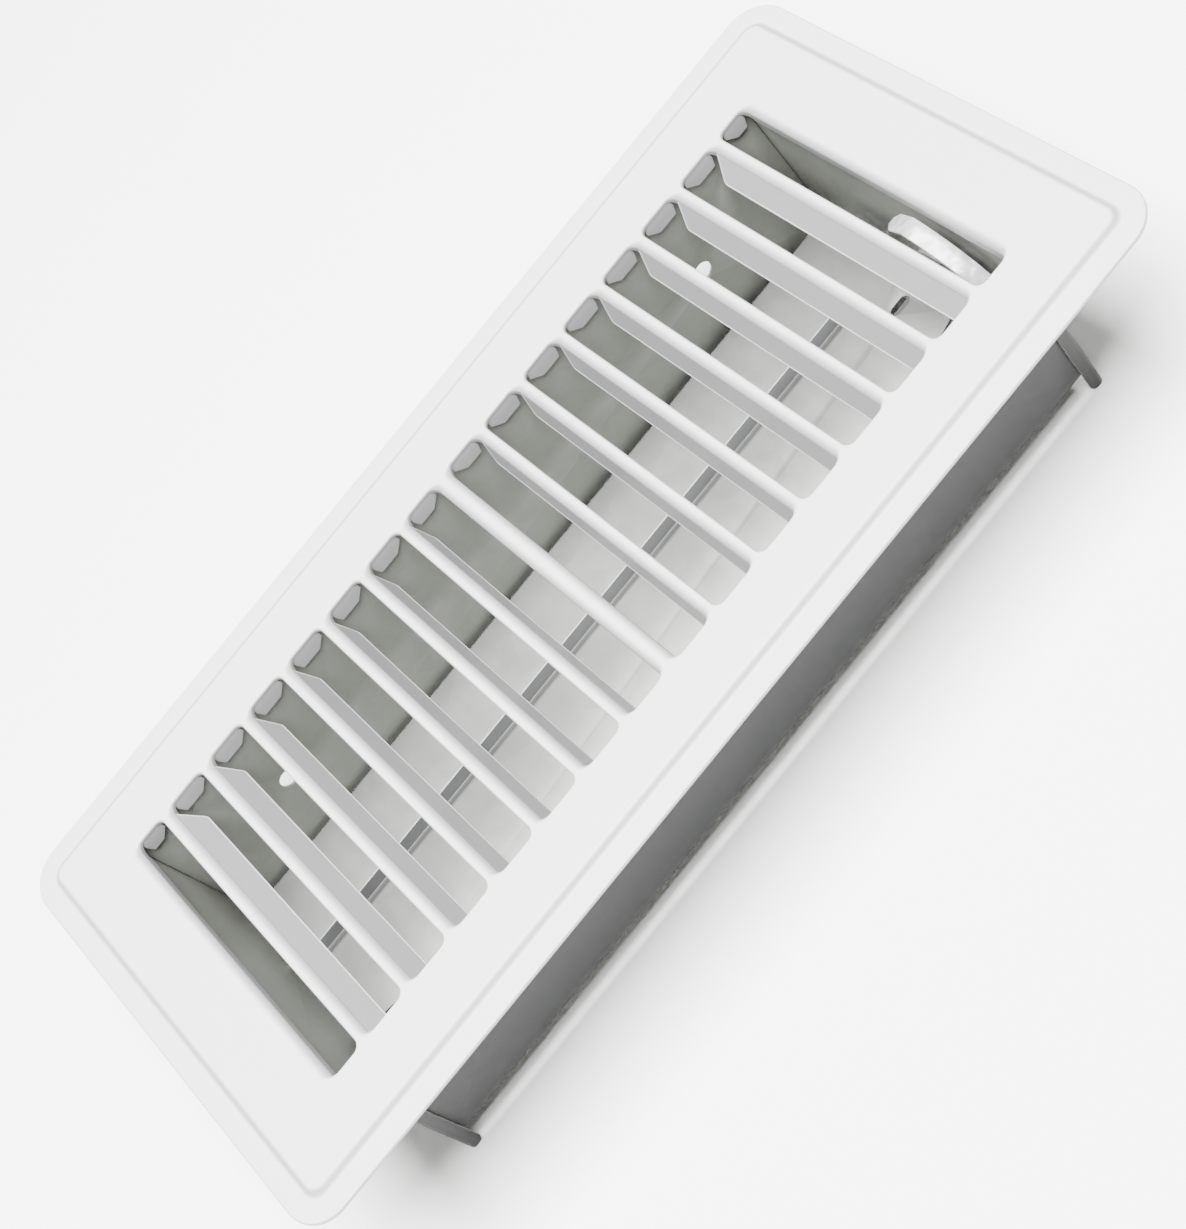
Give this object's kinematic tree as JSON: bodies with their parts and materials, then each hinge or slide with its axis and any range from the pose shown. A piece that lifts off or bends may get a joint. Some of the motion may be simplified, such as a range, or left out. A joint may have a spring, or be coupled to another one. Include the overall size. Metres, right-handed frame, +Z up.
{
  "type": "floor register",
  "caption": "Stamped steel floor register: a slotted white face over a shallow duct box, with a thumb lever that turns two linked damper leaves.",
  "frame": {"origin": "Middle of the duct opening, at the level of the floor that the rim lies on.", "axes": "X across the register, Y along it towards the lever, Z up out of the floor."},
  "size_m": [0.14, 0.292, 0.0587],
  "materials": {
    "white_paint": "semi-gloss white enamel",
    "galvanised": "dull galvanised sheet",
    "damper_steel": "galvanised sheet",
    "lever_paint": "satin white enamel",
    "tie_steel": "zinc plated strip",
    "zinc_pins": "zinc plated"
  },
  "bodies": {
    "frame": {"faceplate": "white_paint", "side_wall_left": "galvanised", "side_wall_right": "galvanised", "end_wall_plain": "galvanised", "end_wall_lever": "galvanised", "lever_rivet": "zinc_pins", "lever_spacer": "zinc_pins"},
    "lever": {"lever": "lever_paint"},
    "leaf_left": {"leaf_left": "damper_steel", "leaf_pin_left_plain": "zinc_pins", "leaf_pin_left_lever": "zinc_pins"},
    "leaf_right": {"leaf_right": "damper_steel", "leaf_pin_right_plain": "zinc_pins", "leaf_pin_right_lever": "zinc_pins"},
    "tie_bar": {"tie_bar": "tie_steel", "tie_pin_left": "zinc_pins", "tie_pin_lever": "zinc_pins", "tie_pin_right": "zinc_pins"}
  },
  "joints": [
    {"name": "lever_turn", "type": "hinge", "parent": "frame", "child": "lever", "pos_m": [0.008, 0.117, -0.043], "axis": [0, -1, 0], "range_deg": [0, 60]},
    {"name": "leaf_left_turn", "type": "hinge", "parent": "frame", "child": "leaf_left", "pos_m": [-0.02045, 0, -0.043], "axis": [0, -1, 0], "range_deg": [0, 60]},
    {"name": "leaf_right_turn", "type": "hinge", "parent": "frame", "child": "leaf_right", "pos_m": [0.01795, 0, -0.043], "axis": [0, -1, 0], "range_deg": [0, 60]},
    {"name": "tie_swing", "type": "hinge", "parent": "lever", "child": "tie_bar", "pos_m": [0.008, 0.1151, -0.028], "axis": [0, -1, 0], "range_deg": [-60, 0]}
  ],
  "couplings": [
    {"joint": "leaf_left_turn", "follows": "lever_turn", "ratio": 1},
    {"joint": "leaf_right_turn", "follows": "lever_turn", "ratio": 1},
    {"joint": "tie_swing", "follows": "lever_turn", "ratio": -1}
  ]
}
